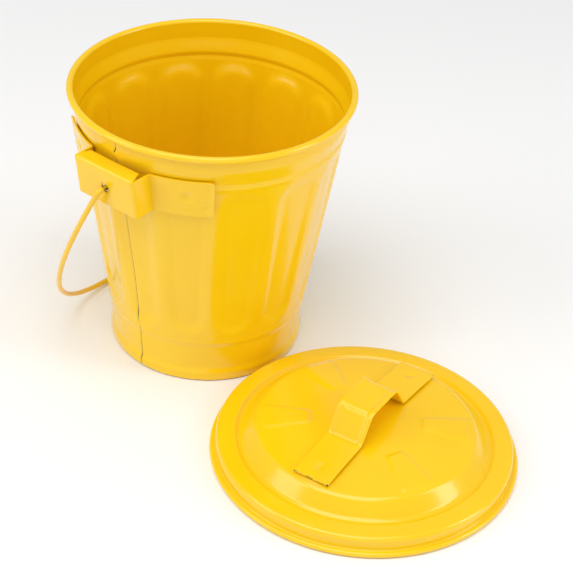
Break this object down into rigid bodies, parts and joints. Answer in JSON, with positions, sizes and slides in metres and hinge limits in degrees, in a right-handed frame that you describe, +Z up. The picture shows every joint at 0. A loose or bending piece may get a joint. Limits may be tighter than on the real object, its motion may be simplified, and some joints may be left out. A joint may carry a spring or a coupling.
{
  "type": "oily waste can",
  "caption": "Small fluted sheet-steel pail with a wired rim, folded ear brackets, a long wire bail and a domed lid with a strap handle, lid off.",
  "frame": {"origin": "on the floor, at the bottom centre of the box round the pail, its bail and its lid as they lie", "axes": "+Z up; +X along the bail's pivots, from ear_left to ear_right; the lid lies on the -Y side of the pail, the front, and the bail leans out on the +Y side"},
  "size_m": [0.2064, 0.3052, 0.163],
  "materials": {
    "yellow_enamel": "glossy yellow enamel on steel sheet",
    "enamelled_wire": "glossy yellow enamel on steel wire",
    "bare_wire": "bare drawn wire"
  },
  "bodies": {
    "pail": {"pail_body": "yellow_enamel", "pail_bottom": "yellow_enamel", "rim_wire": "bare_wire", "ear_right": "yellow_enamel", "ear_left": "yellow_enamel"},
    "bail": {"bail": "enamelled_wire"},
    "lid": {"lid_shell": "yellow_enamel", "lid_handle": "yellow_enamel"}
  },
  "joints": [
    {"name": "bail_swing", "type": "hinge", "parent": "pail", "child": "bail", "pos_m": [0.01133, 0.07268, 0.1345], "axis": [1, 0, 0], "range_deg": [0, 275]},
    {"name": "lid_lift", "type": "slide", "parent": "pail", "child": "lid", "axis": [-0.0432, -0.2034, 0.9781], "range_m": [0, 0.18]}
  ]
}
